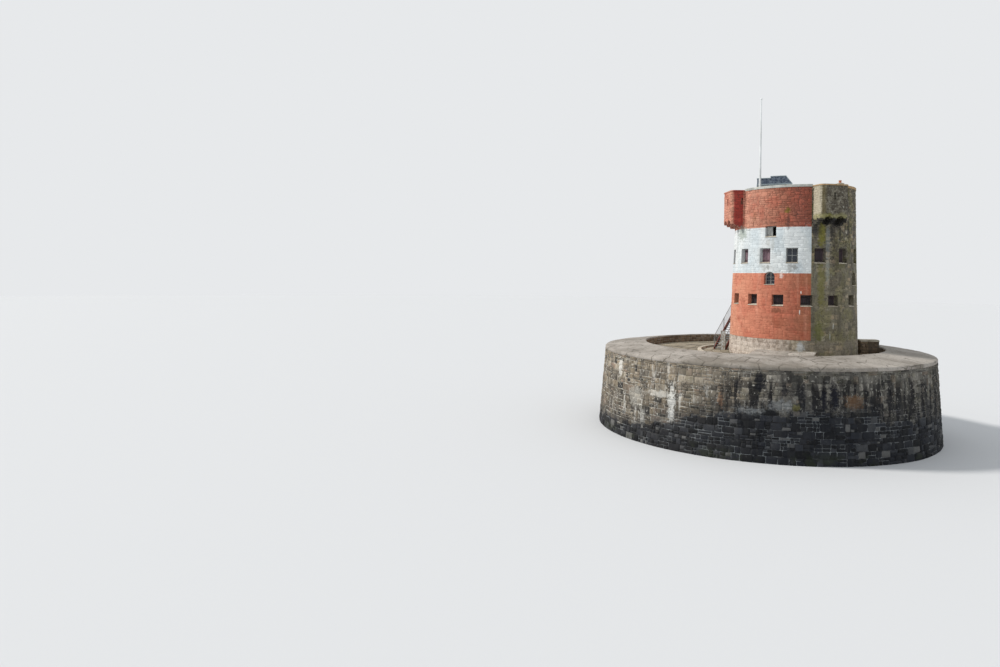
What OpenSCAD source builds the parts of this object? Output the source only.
// Round coastal defence tower standing off centre on a round masonry gun platform.
// Plan in X and Y, +Z up. The origin is the centre of the platform's foot, on the ground.
// Azimuths are degrees round from the front (-Y) towards the right (+X).

/* [Gun platform] */
// Radius of the platform at its top edge
platform_r = 13650; // [12900:50:15500]
// Height of the top edge above the ground
platform_h = 6900; // [4500:100:9000]
// Outward lean of the platform wall for each millimetre down
platform_batter = 0.075; // [0:0.005:0.12]
// Thickness of the outer wall round the rubble core
platform_wall_t = 2200; // [1200:100:3200]
// Thickness of the parapet on top
parapet_t = 3700; // [2800:100:4300]
// Height of the parapet's inner crest above the top edge
crest_rise = 450; // [150:50:900]
// Depth of the gun floor below the top edge
floor_drop = 300; // [50:50:1500]
// Height of the coping course round the top edge
edge_course_h = 270; // [150:10:400]
// How far the coping course stands out from the wall
edge_course_out = 60; // [20:5:120]
// Bevel along the parapet's inner crest
crest_bevel = 80; // [20:10:150]

/* [Gun floor] */
// Width of the infill block between the tower and the front parapet
causeway_w = 4600; // [3000:100:6000]
// Azimuth of the infill block
causeway_az = -5; // [-12:1:4]
// How far the infill block stays below the crest
causeway_drop = 60; // [20:10:200]
// Distance of the kerb from the tower's axis
kerb_r = 7600; // [6800:50:8200]
// Width of the kerb
kerb_w = 320; // [200:10:500]
// Height of the kerb above the gun floor
kerb_h = 180; // [80:10:300]
// Azimuths at which the kerb starts and ends
kerb_az = [-156, -66];
// Azimuth of the cross wall on the right, from the tower's axis
cross_wall_az = 106; // [100:1:112]
// Gap between the tower and the cross wall
cross_wall_gap = 380; // [250:10:600]
// Length of the cross wall
cross_wall_l = 1500; // [1000:50:1600]
// Thickness of the cross wall
cross_wall_t = 1050; // [700:50:1300]
// Height of the cross wall above the gun floor
cross_wall_h = 1350; // [1000:50:1800]

/* [Tower] */
// Distance of the tower's axis to the right of the platform's centre
tower_x = 2660; // [2200:10:2900]
// Distance of the tower's axis behind the platform's centre
tower_y = -500; // [-900:10:500]
// Radius of the tower at the gun floor
tower_r = 5210; // [4900:10:5400]
// Loss of radius for each millimetre up
tower_taper = 0.0312; // [0.02:0.001:0.04]
// Radius of the rooms
room_r = 2900; // [2500:50:3100]
// Height of the wall below the lower windows
lower_wall_h = 4330; // [4100:10:4800]
// Height of the lower, square windows
loophole_h = 930; // [800:10:1100]
// Height of the wall between the lower and the upper windows
middle_wall_h = 2570; // [2400:10:3000]
// Height of the upper windows
upper_window_h = 1250; // [1000:10:1500]
// Height of the wall from the upper windows to the roof
upper_wall_h = 3220; // [2900:10:3800]
// Height of the roof parapet, from the wall below it
roof_parapet_h = 1730; // [1500:10:2100]
// Thickness of the roof parapet at its foot
roof_parapet_t = 720; // [600:10:900]
// Thickness of the tower's coping
coping_t = 220; // [120:10:300]
// How far the coping stands out
coping_out = 50; // [20:5:100]

/* [Floors] */
// Thickness of the ground floor's flagstones
flag_t = 150; // [80:10:250]
// Height of the first floor above the gun floor
first_floor_h = 3300; // [3000:50:3600]
// Height of the second floor above the gun floor
second_floor_h = 7380; // [7300:10:7600]
// Thickness of the two upper floors
floor_t = 240; // [150:10:280]
// Thickness of the roof
roof_t = 600; // [400:20:900]

/* [Windows] */
// Width of the windows at the wall's face
window_w = 920; // [800:10:1000]
// Angle from one window to the next
window_step = 25; // [25:0.1:25.5]
// Azimuth of the first lower window, counted round to the right
loophole_az = -113; // [-116:0.5:-110]
// Number of lower windows
loophole_count = 13; // [9:1:13]
// Azimuth of the first upper window, counted round to the right
upper_window_az = -76; // [-78:0.5:-74]
// Number of upper windows
upper_window_count = 14; // [10:1:14]
// Width of the arched windows
arched_w = 880; // [700:10:950]
// Height of the arched windows to the crown
arched_h = 1080; // [900:10:1200]
// Height of the arched windows' sills above the lower windows
arched_sill_up = 790; // [650:10:900]
// Azimuth of the arched window at the front
arched_az = -21; // [-24:0.5:-18]
// Height of the single upper windows
lookout_h = 910; // [700:10:1100]
// Height of their sills above the upper windows
lookout_sill_up = 900; // [600:10:1200]

/* [Boxes at the top] */
// Azimuths of the three boxes
box_az = [-69, 31.3, 161];
// Half of the width of a box
box_half_w = 1200; // [1100:10:1600]
// How far a box's front stands out from the tower's face at its underside
box_out = 926; // [700:1:1100]
// Thickness of a box's walls
box_wall_t = 350; // [250:10:450]
// Radius of a box's outer corners
box_corner_r = 330; // [250:10:450]
// Depth of a box's underside below the tower's coping
box_drop = 2630; // [2400:10:2900]
// Thickness of a box's coping, thinner than the tower's
box_coping_t = 90; // [60:5:220]
// Width of a corbel
corbel_w = 340; // [280:10:500]
// Height of one of the three courses of a corbel
corbel_course_h = 150; // [120:10:360]
// Rise of the small arches between the corbels
box_arch_rise = 200; // [100:10:260]
// Width of the slits
slit_w = 170; // [100:10:250]
// Height of the slits
slit_h = 560; // [400:10:800]
// Distance of the side slits from the tower's face at a box's underside
side_slit_out = 50; // [20:10:200]
// Height of the slits' sills above a box's underside
slit_sill_up = 1500; // [1200:10:1800]

/* [Roof] */
// Length of the stair head on the roof
stairhead_l = 2850; // [2400:50:3100]
// Width of the stair head
stairhead_w = 1800; // [1400:50:2100]
// Distance of the stair head's left end from the tower's axis
stairhead_left = 3050; // [2800:10:3200]
// Distance of the stair head behind the tower's axis
stairhead_back = 200; // [0:50:500]
// Height of the stair head's walls above the roof
stairhead_wall_h = 1900; // [1600:50:2100]
// Height of the lower roof of the stair head above its walls
stairhead_low_h = 560; // [400:20:800]
// Step up to the higher roof
stairhead_step = 150; // [100:10:300]
// Length of the hatch in the roof under the stair head
hatch_l = 1500; // [900:50:1700]
// Width of the hatch
hatch_w = 1000; // [700:50:1100]
// Length of the lower roof
stairhead_low_l = 1120; // [900:10:1300]
// Run of the slope at the right end
stairhead_slope_l = 500; // [300:10:700]
// Thickness of the stair head's walls and sheets
stairhead_t = 90; // [60:5:150]
// Height of the flagpole above the roof
mast_h = 9250; // [7000:50:11000]
// Radius of the flagpole at its foot
mast_r = 105; // [70:5:130]
// Radius of the flagpole at its top
mast_top_r = 45; // [30:5:60]
// Place of the flagpole, from the tower's axis
mast_at = [-2770, -1700];
// Height of the chimney above the coping
chimney_h = 1050; // [700:10:1400]
// Width of the chimney
chimney_w = 430; // [350:10:500]
// Azimuth of the chimney
chimney_az = 123; // [115:1:130]

/* [Stair] */
// Azimuth at which the flight passes closest to the tower
stair_az = -112; // [-116:0.5:-108]
// Gap between the tower and the inner stringer
stair_gap = 120; // [60:10:200]
// Width of the flight over its stringers
stair_w = 1150; // [1000:10:1300]
// Number of risers
riser_count = 17; // [15:1:19]
// Going of a tread
going = 225; // [210:5:260]
// Distance from that closest point back to the top riser
stair_top_back = 1950; // [1700:10:2100]
// Depth of a stringer
stringer_h = 250; // [180:10:320]
// Thickness of a stringer
stringer_t = 60; // [40:5:90]
// Thickness of a tread
tread_t = 40; // [25:5:60]
// Length of the landing
landing_l = 1400; // [1200:50:1600]
// Thickness of the landing
landing_t = 120; // [80:10:200]
// Height of the handrails
rail_h = 1050; // [900:10:1150]
// Radius of the handrails and their posts
rail_r = 26; // [20:1:35]
// Radius of the bars between the posts
bar_r = 10; // [8:1:16]
// Distance between the bars
bar_pitch = 150; // [100:5:200]
// Height of the sheet beside the foot of the flight
screen_h = 1750; // [1500:50:2100]
// Width of that sheet
screen_w = 460; // [300:10:600]

/* [Doorway] */
// Azimuth of the doorway
door_az = -143; // [-145:0.5:-141]
// Width of the doorway
door_w = 950; // [800:10:1000]
// Depth of the door behind the wall's face
door_recess = 450; // [300:10:700]
// Thickness of the door
door_t = 70; // [50:5:100]
// Width of the door's frame
door_frame_w = 90; // [60:5:120]

/* [Hidden] */
$fn = 96;
// Sides of the large round forms
round_sides = 720;

// Heights, from the ground
floor_z = platform_h - floor_drop;
crest_z = platform_h + crest_rise;
loophole_z = floor_z + lower_wall_h;
middle_z = loophole_z + loophole_h;
upper_window_z = middle_z + middle_wall_h;
upper_wall_z = upper_window_z + upper_window_h;
roof_seat_z = upper_wall_z + upper_wall_h;
roof_z = roof_seat_z + roof_t;
coping_z = roof_seat_z + roof_parapet_h;
top_z = coping_z + coping_t;
box_z = coping_z - box_drop;
first_floor_z = floor_z + first_floor_h;
second_floor_z = floor_z + second_floor_h;

// Radii
core_r = platform_r - platform_wall_t;
parapet_r = platform_r - parapet_t;
roof_parapet_r = outer_r(roof_seat_z) - roof_parapet_t;
coping_r = outer_r(coping_z) + coping_out;
box_front_r = outer_r(box_z) + box_out;
// Cutters through the tower's wall run from one of these to the other
inside_r = room_r - 400;
outside_r = tower_r + 400;

// Cutters run past what they cut by this much
past = 50;

// Azimuths of what repeats round the tower
loophole_azs = [for (k = [0:loophole_count - 1]) loophole_az + window_step * k];
upper_window_azs = [for (k = [0:upper_window_count - 1]) upper_window_az + window_step * k];
// One single upper window stands about midway between each two boxes
lookout_azs = [arched_az, (box_az[1] + box_az[2]) / 2, (box_az[2] + box_az[0] + 360) / 2];
// The thirds of the lower and upper walls meet midway between those windows
third_ends = [
    (lookout_azs[0] + lookout_azs[1]) / 2,
    (lookout_azs[1] + lookout_azs[2]) / 2,
    (lookout_azs[2] + lookout_azs[0] + 360) / 2
];
third_starts = [third_ends[2] - 360, third_ends[0], third_ends[1]];

// The flight of the stair
riser_h = first_floor_h / riser_count;
stair_slope = riser_h / going;
stair_in_x = tower_r + stair_gap;
stair_out_x = stair_in_x + stair_w;
stair_top_y = -stair_top_back;
stair_foot_y = stair_top_y + (riser_count - 1) * going;
rail_in_x = stair_in_x + stringer_t / 2;
rail_out_x = stair_out_x - stringer_t / 2;
stringer_rise = 40;
stringer_drop = stringer_h * sqrt(1 + stair_slope * stair_slope) - stringer_rise;

function outer_r(z) = tower_r - tower_taper * (z - floor_z);
// Half of the angle that a window takes up, as seen from the tower's axis
function window_half_angle(sill) = asin(window_w / 2 / outer_r(sill));
function wall_r(z) = platform_r - edge_course_out + platform_batter * (platform_h - z);
// Height of the line through the nosings at a place along the flight
function nosing_z(y) = first_floor_z - (y - stair_top_y) * stair_slope;

// Places things on the tower's axis, with +X out along an azimuth
module on_tower(az = 90) {
    translate([tower_x, tower_y, 0])
        rotate([0, 0, az - 90])
            children();
}

// Part of a ring, from a section of [radius, height] points
module ring_part(from_az, to_az, section) {
    rotate([0, 0, from_az - 90])
        rotate_extrude(angle = to_az - from_az, $fn = round_sides)
            polygon(section);
}

// Part of the tower's tapering wall
module wall_band(z_low, z_high, inner, from_az, to_az) {
    translate([tower_x, tower_y, 0])
        ring_part(from_az, to_az, [
            [inner, z_low],
            [outer_r(z_low), z_low],
            [outer_r(z_high), z_high],
            [inner, z_high]
        ]);
}

// The tower's outer form, to cut other pieces back to its face
module tower_form() {
    translate([tower_x, tower_y, floor_z - past])
        cylinder(
            h = top_z - floor_z + 2 * past,
            r1 = outer_r(floor_z - past),
            r2 = outer_r(top_z + past),
            $fn = round_sides
        );
}

// Extrudes an outline of [y, z] points along +X
module along_x(length) {
    rotate([90, 0, 90])
        linear_extrude(length)
            children();
}

// A window whose sides point at the tower's axis, so that it narrows towards the room
module window_cut(az, sill, height) {
    half = window_half_angle(sill);
    on_tower(az)
        translate([0, 0, sill])
            linear_extrude(height)
                polygon([
                    [inside_r, inside_r * tan(half)],
                    [outside_r, outside_r * tan(half)],
                    [outside_r, -outside_r * tan(half)],
                    [inside_r, -inside_r * tan(half)]
                ]);
}

// A window with straight sides and a round head
module arched_cut(az, sill) {
    spring = arched_h - arched_w / 2;
    length = outside_r - inside_r;
    on_tower(az)
        translate([inside_r, 0, sill]) {
            translate([0, -arched_w / 2, 0])
                cube([length, arched_w, spring]);
            translate([0, 0, spring])
                rotate([0, 90, 0])
                    cylinder(h = length, r = arched_w / 2, $fn = 48);
        }
}

// The doorway's head is the underside of the middle wall
module doorway_cut() {
    on_tower(door_az)
        translate([inside_r, -door_w / 2, first_floor_z])
            cube([outside_r - inside_r, door_w, middle_z + past - first_floor_z]);
}

// Gap in the parapet through which a box opens on to the roof
module box_opening_cut(z_low) {
    half = box_half_w - box_wall_t;
    for (az = box_az)
        on_tower(az)
            translate([room_r, -half, z_low])
                cube([box_front_r - room_r, 2 * half, top_z + past - z_low]);
}

// Outline of a box in plan, set in from its outer faces
module box_outline(inset) {
    half = box_half_w - inset;
    front = box_front_r - inset;
    r = max(box_corner_r - inset, 30);
    translate([room_r, -half])
        square([front - r - room_r, 2 * half]);
    translate([room_r, r - half])
        square([front - room_r, 2 * (half - r)]);
    for (side = [-1, 1])
        translate([front - r, side * (half - r)])
            circle(r, $fn = 48);
}

// Gun platform
module platform_core() {
    color("#8d8575")
        cylinder(h = floor_z, r = core_r, $fn = round_sides);
}

module platform_wall(mid_az) {
    color("#8a8070")
        ring_part(mid_az - 45, mid_az + 45, [
            [core_r, 0],
            [wall_r(0), 0],
            [wall_r(floor_z), floor_z],
            [core_r, floor_z]
        ]);
}

// The parapet's top slopes out from the crest, and the coping course ends it
module parapet(mid_az) {
    course_z = max(platform_h - edge_course_h, floor_z + 10);
    color("#b4aca5")
        ring_part(mid_az - 45, mid_az + 45, [
            [parapet_r, floor_z],
            [wall_r(floor_z), floor_z],
            [wall_r(course_z), course_z],
            [platform_r, course_z],
            [platform_r, platform_h],
            [parapet_r + crest_bevel, crest_z],
            [parapet_r, crest_z - crest_bevel]
        ]);
}

// Infill between the front parapet and the tower's foot
module causeway() {
    color("#b9b1a6")
        difference() {
            intersection() {
                on_tower(causeway_az)
                    translate([0, -causeway_w / 2, floor_z])
                        cube([platform_r, causeway_w, crest_z - causeway_drop - floor_z]);
                cylinder(h = crest_z, r = parapet_r, $fn = round_sides);
            }
            tower_form();
        }
}

module kerb() {
    color("#c2bcb0")
        translate([tower_x, tower_y, 0])
            ring_part(kerb_az[0], kerb_az[1], [
                [kerb_r, floor_z],
                [kerb_r + kerb_w, floor_z],
                [kerb_r + kerb_w, floor_z + kerb_h],
                [kerb_r, floor_z + kerb_h]
            ]);
}

module cross_wall() {
    color("#a8a48c")
        intersection() {
            on_tower(cross_wall_az)
                translate([tower_r + cross_wall_gap, -cross_wall_t / 2, floor_z])
                    cube([cross_wall_l, cross_wall_t, cross_wall_h]);
            cylinder(h = floor_z + cross_wall_h + past, r = parapet_r, $fn = round_sides);
        }
}

// Tower walls, from the gun floor up
module lower_wall(third) {
    color("#c0705c")
        difference() {
            wall_band(floor_z, loophole_z, room_r, third_starts[third], third_ends[third]);
            doorway_cut();
        }
}

// Piers between windows whose sides all point at the tower's axis
module pier_ring(z_low, z_high, azs) {
    half = window_half_angle(z_low);
    last = len(azs) - 1;
    for (k = [0:last])
        wall_band(z_low, z_high, room_r, azs[k] + half, (k < last ? azs[k + 1] : azs[0] + 360) - half);
}

// Piers between the lower windows. The doorway's head stands in one of them
module loophole_piers() {
    color("#c0705c")
        difference() {
            pier_ring(loophole_z, middle_z, loophole_azs);
            doorway_cut();
        }
}

module middle_wall(quarter) {
    az = arched_az + 90 * quarter;
    color("#c0705c")
        difference() {
            wall_band(middle_z, upper_window_z, room_r, az - 45, az + 45);
            arched_cut(az, middle_z + arched_sill_up);
        }
}

// Piers between the upper windows
module upper_window_piers() {
    color("#dfe3e4")
        pier_ring(upper_window_z, upper_wall_z, upper_window_azs);
}

module upper_wall(third) {
    color("#dfe3e4")
        difference() {
            wall_band(upper_wall_z, roof_seat_z, room_r, third_starts[third], third_ends[third]);
            window_cut(lookout_azs[third], upper_wall_z + lookout_sill_up, lookout_h);
        }
}

// Parapet between the middles of two boxes
module roof_parapet(from_az, to_az) {
    color("#c0705c")
        difference() {
            wall_band(roof_seat_z, coping_z, roof_parapet_r, from_az, to_az);
            box_opening_cut(roof_z);
        }
}

// Coping between the boxes
module tower_coping() {
    color("#b9bcb8")
        difference() {
            translate([tower_x, tower_y, 0])
                ring_part(0, 360, [
                    [roof_parapet_r - coping_out, coping_z],
                    [coping_r, coping_z],
                    [coping_r, top_z],
                    [roof_parapet_r - coping_out, top_z]
                ]);
            box_opening_cut(coping_z - past);
        }
}

// A box for dropping things on whoever stands at the wall, open below and to the roof.
// The right-hand box has plain sides
module box(az, side_slits) {
    slit_z = box_z + slit_sill_up;
    side_slit_x = outer_r(box_z) + side_slit_out;
    arch_half = (2 * box_half_w - 3 * corbel_w) / 4 - 20;
    arch_r = (arch_half * arch_half + box_arch_rise * box_arch_rise) / (2 * box_arch_rise);
    color("#b66450")
        difference() {
            on_tower(az)
                difference() {
                    union() {
                        translate([0, 0, box_z])
                            linear_extrude(coping_z - box_z)
                                box_outline(0);
                        translate([0, 0, coping_z])
                            linear_extrude(box_coping_t)
                                box_outline(-coping_out);
                    }
                    translate([0, 0, box_z - past])
                        linear_extrude(top_z - box_z + 2 * past)
                            box_outline(box_wall_t);
                    translate([0, 0, coping_z])
                        cylinder(h = box_coping_t + past, r = coping_r, $fn = round_sides);
                    for (side = [-1, 1])
                        translate([box_front_r - box_wall_t - past, side * (box_half_w - corbel_w / 2) / 2, 0])
                            translate([0, 0, box_z + box_arch_rise - arch_r])
                                rotate([0, 90, 0])
                                    cylinder(h = box_wall_t + 2 * past, r = arch_r, $fn = 96);
                    translate([box_front_r - box_wall_t - past, -slit_w / 2, slit_z])
                        cube([box_wall_t + 2 * past, slit_w, slit_h]);
                    if (side_slits)
                        translate([side_slit_x - slit_w / 2, -box_half_w - past, slit_z])
                            cube([slit_w, 2 * (box_half_w + past), slit_h]);
                }
            tower_form();
        }
}

// Outline of a three-course corbel in [x, z], rounded at the lower edge of each course
module corbel_outline() {
    wall = outer_r(box_z);
    nose = corbel_course_h / 2;
    for (course = [0:2]) {
        reach = wall + (box_front_r - wall) * (course + 1) / 3;
        translate([room_r, course * corbel_course_h]) {
            square([reach - nose - room_r, corbel_course_h]);
            translate([0, nose])
                square([reach - room_r, nose]);
            translate([reach - nose - room_r, nose])
                circle(nose, $fn = 32);
        }
    }
}

// Three corbels under each box
module corbels() {
    color("#a86350")
        difference() {
            for (az = box_az)
                on_tower(az)
                    intersection() {
                        for (side = [-1, 0, 1])
                            translate([0, side * (box_half_w - corbel_w / 2) + corbel_w / 2, box_z - 3 * corbel_course_h])
                                rotate([90, 0, 0])
                                    linear_extrude(corbel_w)
                                        corbel_outline();
                        translate([0, 0, box_z - 3 * corbel_course_h])
                            linear_extrude(3 * corbel_course_h)
                                box_outline(0);
                    }
            tower_form();
        }
}

// Floors, each a disc that fills the wall's inner face
module floor_disc(top, thickness, tint) {
    color(tint)
        translate([tower_x, tower_y, top - thickness])
            cylinder(h = thickness, r = room_r, $fn = round_sides);
}

module roof_slab() {
    color("#a7a398")
        difference() {
            translate([tower_x, tower_y, roof_seat_z])
                cylinder(h = roof_t, r = roof_parapet_r, $fn = round_sides);
            translate([
                tower_x - stairhead_left + (stairhead_l - hatch_l) / 2,
                tower_y + stairhead_back - hatch_w / 2,
                roof_seat_z - past
            ])
                cube([hatch_l, hatch_w, roof_t + 2 * past]);
        }
}

// Places things at the left front corner of the stair head, on the roof
module at_stairhead() {
    translate([tower_x - stairhead_left, tower_y + stairhead_back - stairhead_w / 2, roof_z])
        children();
}

module stairhead_walls() {
    t = stairhead_t;
    color("#8f9698")
        at_stairhead()
            difference() {
                cube([stairhead_l, stairhead_w, stairhead_wall_h]);
                translate([t, t, -past])
                    cube([stairhead_l - 2 * t, stairhead_w - 2 * t, stairhead_wall_h + 2 * past]);
            }
}

// Outline of the hood in [x, z], set in by the sheets' thickness for its inside
module hood_outline(inset) {
    low = stairhead_low_h - inset;
    high = stairhead_low_h + stairhead_step - inset;
    polygon([
        [inset, inset > 0 ? -past : 0],
        [inset, low],
        [stairhead_low_l + inset, low],
        [stairhead_low_l + inset, high],
        [stairhead_l - stairhead_slope_l - inset / 2, high],
        [stairhead_l - inset, inset > 0 ? 60 : 0],
        [stairhead_l - inset, inset > 0 ? -past : 0]
    ]);
}

// The stepped hood over the stair head, with a sloping right end
module stairhead_hood() {
    color("#4b5a70")
        at_stairhead()
            translate([0, stairhead_w, stairhead_wall_h])
                rotate([90, 0, 0])
                    difference() {
                        linear_extrude(stairhead_w)
                            hood_outline(0);
                        translate([0, 0, stairhead_t])
                            linear_extrude(stairhead_w - 2 * stairhead_t)
                                hood_outline(stairhead_t);
                    }
}

// Flagpole with its foot socket and its truck
module flagpole() {
    socket_r = mast_r + 50;
    color("#e8eaea")
        translate([tower_x + mast_at[0], tower_y + mast_at[1], roof_z])
            rotate_extrude($fn = 32)
                polygon([
                    [0, 0],
                    [socket_r + 90, 0],
                    [socket_r + 90, 50],
                    [socket_r, 50],
                    [socket_r, 600],
                    [mast_r, 640],
                    [mast_top_r, mast_h - 150],
                    [mast_top_r + 40, mast_h - 140],
                    [mast_top_r + 40, mast_h - 60],
                    [mast_top_r, mast_h],
                    [0, mast_h]
                ]);
}

// Chimney stack with a pot, on the coping
module chimney() {
    pot_h = 260;
    color("#8d4f3c")
        on_tower(chimney_az)
            translate([(roof_parapet_r + outer_r(coping_z)) / 2, 0, top_z]) {
                translate([-chimney_w / 2, -chimney_w / 2, 0])
                    cube([chimney_w, chimney_w, chimney_h - pot_h]);
                cylinder(h = chimney_h, r = chimney_w / 4, $fn = 32);
            }
}

// Steel stair: +X leads out from the tower, +Y down the flight
module on_stair() {
    on_tower(stair_az)
        children();
}

// Side view of a stringer, in [y, z]
module stringer_outline() {
    toe_y = stair_foot_y + 60;
    heel_y = stair_top_y + (first_floor_z - stringer_drop - floor_z) / stair_slope;
    polygon([
        [stair_top_y, nosing_z(stair_top_y) - stringer_drop],
        [heel_y, floor_z],
        [toe_y, floor_z],
        [toe_y, nosing_z(toe_y) + stringer_rise],
        [stair_top_y, nosing_z(stair_top_y) + stringer_rise]
    ]);
}

module stair_stringers() {
    color("#7d3f31")
        on_stair()
            for (x = [stair_in_x, stair_out_x - stringer_t])
                translate([x, 0, 0])
                    along_x(stringer_t)
                        stringer_outline();
}

module stair_treads() {
    color("#8b9093")
        on_stair()
            for (k = [1:riser_count - 1])
                translate([
                    stair_in_x + stringer_t,
                    stair_top_y + (riser_count - 1 - k) * going,
                    floor_z + k * riser_h - tread_t
                ])
                    cube([stair_w - 2 * stringer_t, going - 5, tread_t]);
}

// Landing before the doorway, on two posts
module stair_landing() {
    far_y = stair_top_y - landing_l;
    post_r = 60;
    color("#7f8486")
        difference() {
            on_stair() {
                translate([room_r, far_y, first_floor_z - landing_t])
                    cube([stair_out_x - room_r, landing_l, landing_t]);
                for (y = [far_y + post_r, stair_top_y - post_r])
                    translate([stair_out_x - post_r, y, floor_z])
                        cylinder(h = first_floor_z - landing_t / 2 - floor_z, r = post_r, $fn = 32);
            }
            tower_form();
        }
}

// A round rail between two points of one plane across +X
module rail(x, from_y, from_z, to_y, to_z) {
    run = to_y - from_y;
    climb = to_z - from_z;
    translate([x, from_y, from_z])
        rotate([-atan2(run, climb), 0, 0])
            cylinder(h = sqrt(run * run + climb * climb), r = rail_r, $fn = 24);
}

// A post that stands a little proud of the rail on it
module post(x, y, foot_z, top_z) {
    r = rail_r + 5;
    translate([x, y, foot_z])
        cylinder(h = top_z + r - foot_z, r = r, $fn = 24);
}

// Rails with posts and bars, up both sides of the flight
module stair_railings() {
    foot_y = stair_foot_y;
    run = foot_y - stair_top_y;
    bars = floor(run / 2 / bar_pitch);
    color("#9aa0a2")
        on_stair() {
            for (x = [rail_in_x, rail_out_x])
                rail(x, foot_y, nosing_z(foot_y) + rail_h, stair_top_y, first_floor_z + rail_h);
            // What stands on the flight is cut to the stringers' slope
            difference() {
                for (x = [rail_in_x, rail_out_x]) {
                    for (y = [foot_y, foot_y - run / 2, stair_top_y])
                        post(x, y, nosing_z(y), nosing_z(y) + rail_h);
                    for (half = [0, 1], k = [1:bars - 1])
                        let (y = stair_top_y + (half + k / bars) * run / 2)
                            translate([x, y, nosing_z(y)])
                                cylinder(h = rail_h, r = bar_r, $fn = 16);
                }
                translate([stair_in_x - past, 0, 0])
                    along_x(stair_w + 2 * past)
                        stringer_outline();
            }
        }
}

// Two rails with posts round the landing, from the flight's top post to the tower
module landing_railings() {
    far_y = stair_top_y - landing_l + 2 * rail_r;
    wall_x = tower_r - 700;
    color("#9aa0a2")
        on_stair() {
            difference() {
                for (h = [rail_h / 2, rail_h])
                    rail(rail_out_x, stair_top_y, first_floor_z + h, far_y, first_floor_z + h);
                post(rail_out_x, stair_top_y, first_floor_z, first_floor_z + rail_h);
            }
            for (h = [rail_h / 2, rail_h])
                translate([wall_x, far_y, first_floor_z + h])
                    rotate([0, 90, 0])
                        cylinder(h = rail_out_x - wall_x, r = rail_r, $fn = 24);
            for (y = [(far_y + stair_top_y) / 2, far_y])
                post(rail_out_x, y, first_floor_z, first_floor_z + rail_h);
            for (x = [wall_x, (wall_x + rail_out_x) / 2])
                post(x, far_y, first_floor_z, first_floor_z + rail_h);
        }
}

// Upright sheet in a frame, between the foot of the flight and the tower
module stair_screen() {
    bar = 50;
    color("#c9cdcc")
        on_stair()
            translate([stair_in_x, stair_foot_y + 60, floor_z])
                difference() {
                    cube([screen_w, bar, screen_h]);
                    translate([bar, bar * 0.7, bar])
                        cube([screen_w - 2 * bar, bar, screen_h - 2 * bar]);
                }
}

// Door frame and door, set back in the doorway
module door_frame() {
    height = middle_z - first_floor_z;
    color("#6b5442")
        on_tower(door_az)
            translate([outer_r(first_floor_z) - door_recess - door_t, -door_w / 2, first_floor_z])
                difference() {
                    cube([door_t + 50, door_w, height]);
                    translate([-past, door_frame_w, -past])
                        cube([door_t + 50 + 2 * past, door_w - 2 * door_frame_w, height - door_frame_w + past]);
                }
}

module door_leaf() {
    height = middle_z - first_floor_z - door_frame_w;
    color("#4c5a50")
        on_tower(door_az)
            translate([
                outer_r(first_floor_z) - door_recess - door_t,
                -door_w / 2 + door_frame_w,
                first_floor_z
            ])
                cube([door_t, door_w - 2 * door_frame_w, height]);
}

platform_core();
platform_wall(0);  // platform_wall_front
platform_wall(90);  // platform_wall_right
platform_wall(180);  // platform_wall_back
platform_wall(270);  // platform_wall_left
parapet(0);  // parapet_front
parapet(90);  // parapet_right
parapet(180);  // parapet_back
parapet(270);  // parapet_left
causeway();
kerb();
cross_wall();
lower_wall(0);  // lower_wall_front
lower_wall(1);  // lower_wall_right
lower_wall(2);  // lower_wall_back
loophole_piers();
middle_wall(0);  // middle_wall_front
middle_wall(1);  // middle_wall_right
middle_wall(2);  // middle_wall_back
middle_wall(3);  // middle_wall_left
upper_window_piers();
upper_wall(0);  // upper_wall_front
upper_wall(1);  // upper_wall_right
upper_wall(2);  // upper_wall_back
roof_parapet(box_az[0], box_az[1]);  // roof_parapet_front
roof_parapet(box_az[1], box_az[2]);  // roof_parapet_right
roof_parapet(box_az[2], box_az[0] + 360);  // roof_parapet_left
tower_coping();
box(box_az[0], true);  // box_left
box(box_az[1], false);  // box_right
box(box_az[2], true);  // box_back
corbels();
floor_disc(floor_z + flag_t, flag_t, "#8f887c");  // ground_floor
floor_disc(first_floor_z, floor_t, "#8a6f52");  // first_floor
floor_disc(second_floor_z, floor_t, "#8a6f52");  // second_floor
roof_slab();
stairhead_walls();
stairhead_hood();
flagpole();
chimney();
stair_stringers();
stair_treads();
stair_landing();
stair_railings();
landing_railings();
stair_screen();
door_frame();
door_leaf();
